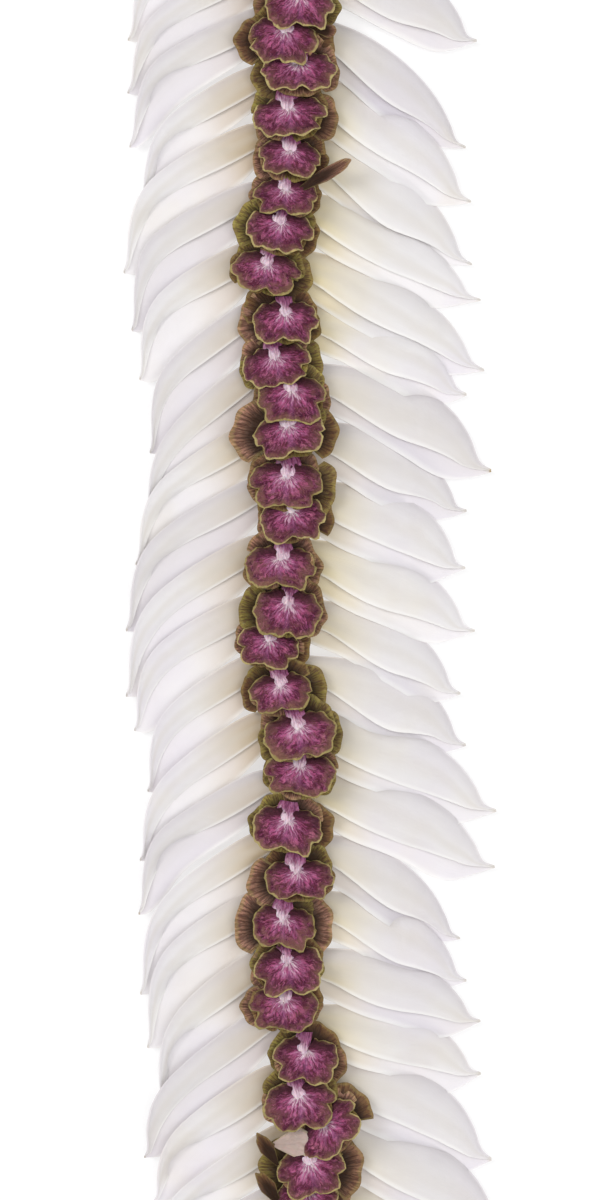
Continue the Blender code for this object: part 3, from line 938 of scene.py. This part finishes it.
class LEI_OT_orchids(bpy.types.Operator):
    """Stand the small orchids along the thread, each lip lapping over the next one's throat"""

    bl_idname = "lei.orchids"
    bl_label = "Orchids"

    def execute(self, context):
        thickness = settings().lip_thickness / MM
        purple, pink, brown = lip_material(), hood_material(), sepal_material()
        lips = [orchid_lip(f"lip_{k}", k, thickness, purple) for k in range(LIP_KINDS)]
        hoods = [orchid_hood(f"hood_{k}", k, thickness, pink) for k in range(HOOD_KINDS)]
        sepals = [orchid_sepal(f"sepal_{k}", k, thickness, brown) for k in range(SEPAL_KINDS)]
        stalk = orchid_stalk(stalk_material())
        route = Route()
        chance = np.random.default_rng(LAID_ORCHIDS_SEED)
        places = spread(ORCHIDS, route)
        for number in range(ORCHIDS // ORCHIDS_PER_NODE):
            copies = []
            for flower in range(number * ORCHIDS_PER_NODE, (number + 1) * ORCHIDS_PER_NODE):
                strewn = chance.normal(*STREWN_SHIFT), chance.uniform(-STREWN_AHEAD, STREWN_AHEAD)
                shift, ahead = SEATED.get(flower, strewn)
                lean = LEANING.get(flower, chance.normal(0, LEAN_SPREAD))
                size = ORCHID_SIZE + chance.uniform(-0.07, 0.06)
                s = places[flower] + ahead

                def lay(pattern, points, tone):
                    points = turned(points, lean, 0, (shift, 0, 0), size)
                    copies.append((pattern, route.place(s, points), tone))

                proud = EARS.get(flower, {})
                most = GROWN_SEATED if flower in SEATED else GROWN_STREWN
                for degrees, tilt, scale, wide, at in SEPALS:
                    sepal = sepals[chance.integers(SEPAL_KINDS)]
                    sway = chance.normal(0, SWAY_SPREAD)
                    grown, tone = chance.random(), chance.random()
                    usual = most * grown**2, 0.08 + 0.92 * tone**1.2
                    grown, tone = proud.get(degrees, usual)
                    scale += (SIDE_GAIN if degrees in (LEFT, RIGHT) else OTHER_GAIN) * grown
                    points = sepal.points * np.array([wide * chance.uniform(0.8, 1.05), 1, 1])
                    lay(sepal, turned(points, degrees + sway, tilt, at, scale), tone)
                tone = chance.random()
                lip, hood = lips[chance.integers(LIP_KINDS)], hoods[chance.integers(HOOD_KINDS)]
                shape = chance.uniform(0.9, 1.05), chance.uniform(0.74, 0.94), 1
                lay(lip, lip.points * np.array(shape), tone)
                broad = np.array([chance.uniform(0.75, 1.1), 1, 1])
                lay(hood, hood.points * broad + np.array([chance.uniform(-1.1, 0.5), 0, 0]), tone)
                lay(stalk, stalk.points, tone)
                strays = [stray[1:] for stray in STRAYS if stray[0] == flower]
                for a, b, degrees, long, wide, tone in strays:
                    sepal = sepals[chance.integers(SEPAL_KINDS)]
                    curled = sepal.points * np.array([wide, long, 1])
                    curled[:, 2] += 0.1 * curled[:, 1]
                    points = turned(curled, degrees, 0, (a, b, LOOSE_SEPAL_HEIGHT))
                    copies.append((sepal, route.place(s, points), tone))
            piece = lay_copies(f"orchid_run_{number + 1:02d}", copies)
            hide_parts(f"orchids_{number + 1:02d}")
        return {"FINISHED"}


class LEI_OT_thread(bpy.types.Operator):
    """Give the thread and its knot their cotton finish"""

    bl_idname = "lei.thread"
    bl_label = "Thread"

    def execute(self, context):
        cotton = cotton_material()
        for name in ("lei_thread", "thread_knot"):
            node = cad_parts[name]
            for slot in node.material_slots:
                slot.material = cotton
        return {"FINISHED"}


class LEI_OT_stage(bpy.types.Operator):
    """Set out the pale floor, the soft lights and the camera"""

    bl_idname = "lei.stage"
    bl_label = "Stage"

    def execute(self, context):
        deselect_all()
        bpy.ops.mesh.primitive_plane_add(size=FLOOR_SIZE, location=(0, 0, FLOOR_HEIGHT))
        floor = context.object
        floor.name = "floor"
        material, _, shader = new_material("pale_floor", 0.9)
        shader.inputs["Base Color"].default_value = (*srgb(190, 190, 190), 1)
        shader.inputs["Emission Color"].default_value = (1, 1, 1, 1)
        shader.inputs["Emission Strength"].default_value = FLOOR_GLOW
        floor.data.materials.append(material)
        middle = Vector(LOOKED_AT)
        for name, spot, size, power in LIGHTS:
            light = bpy.data.lights.new(name, "AREA")
            light.energy, light.size = power, size
            lamp = bpy.data.objects.new(name, light)
            context.collection.objects.link(lamp)
            lamp.location = spot
            lamp.rotation_euler = (middle - Vector(spot)).to_track_quat("-Z", "Y").to_euler()
        world = bpy.data.worlds.new("studio")
        context.scene.world = world
        world.use_nodes = True
        background = world.node_tree.nodes["Background"]
        background.inputs["Color"].default_value = (1, 1, 1, 1)
        background.inputs["Strength"].default_value = WORLD_STRENGTH
        camera = bpy.data.objects.new("camera", bpy.data.cameras.new("camera"))
        context.collection.objects.link(camera)
        camera.data.lens = CAMERA_LENS
        camera.location = (middle.x, middle.y, middle.z + CAMERA_HEIGHT)
        context.scene.camera = camera
        context.scene.view_settings.view_transform = "Standard"
        return {"FINISHED"}


class LEI_PT_panel(bpy.types.Panel):
    bl_label = "Flower Lei"
    bl_idname = "LEI_PT_panel"
    bl_space_type = "VIEW_3D"
    bl_region_type = "UI"
    bl_category = "Flower Lei"

    def draw(self, context):
        for name in LeiSettings.__annotations__:
            self.layout.prop(context.scene.lei_settings, name)
        for name in ("lei.white_petals", "lei.orchids", "lei.thread", "lei.stage"):
            self.layout.operator(name)


CLASSES = (
    LeiSettings, LEI_OT_white_petals, LEI_OT_orchids, LEI_OT_thread, LEI_OT_stage, LEI_PT_panel
)


def register():
    for cls in CLASSES:
        bpy.utils.register_class(cls)
    bpy.types.Scene.lei_settings = bpy.props.PointerProperty(type=LeiSettings)


def unregister():
    del bpy.types.Scene.lei_settings
    for cls in reversed(CLASSES):
        bpy.utils.unregister_class(cls)


def main():
    register()
    bpy.ops.lei.white_petals()
    bpy.ops.lei.orchids()
    bpy.ops.lei.thread()
    bpy.ops.lei.stage()


if __name__ == "__main__":
    main()
